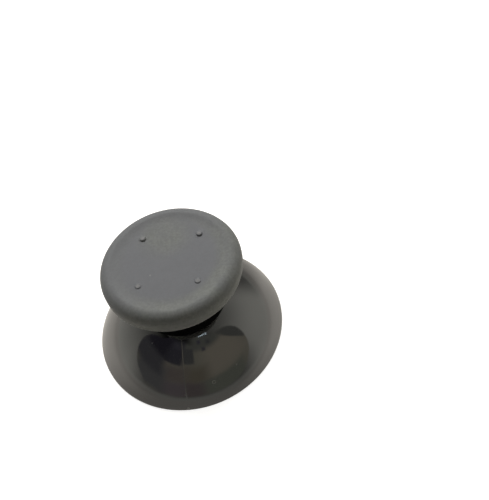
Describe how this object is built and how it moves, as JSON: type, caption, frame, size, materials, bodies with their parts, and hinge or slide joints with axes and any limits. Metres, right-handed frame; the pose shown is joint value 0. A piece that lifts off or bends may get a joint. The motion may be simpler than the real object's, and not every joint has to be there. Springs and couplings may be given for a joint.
{
  "type": "controller analog stick",
  "caption": "Game controller analog stick: dished rubber thumb pad with raised dots, on a neck above a hollow glossy dome with a socket for the joystick post.",
  "frame": {"origin": "middle of the flat rim face that the dome ends in, which is the face the stick stands on", "axes": "+Z along the stick's own axis, from the rim up to the thumb pad; the dome's mould seam lies in the plane X = 0 and the socket's flats face +Y and -Y"},
  "size_m": [0.026, 0.026, 0.016],
  "materials": {
    "dome_plastic": "glossy near-black moulded plastic",
    "pad_rubber": "matte grey rubber with a fine grain"
  },
  "bodies": {
    "root": {"stick_body": "dome_plastic", "grip_pad": "pad_rubber"}
  },
  "joints": []
}
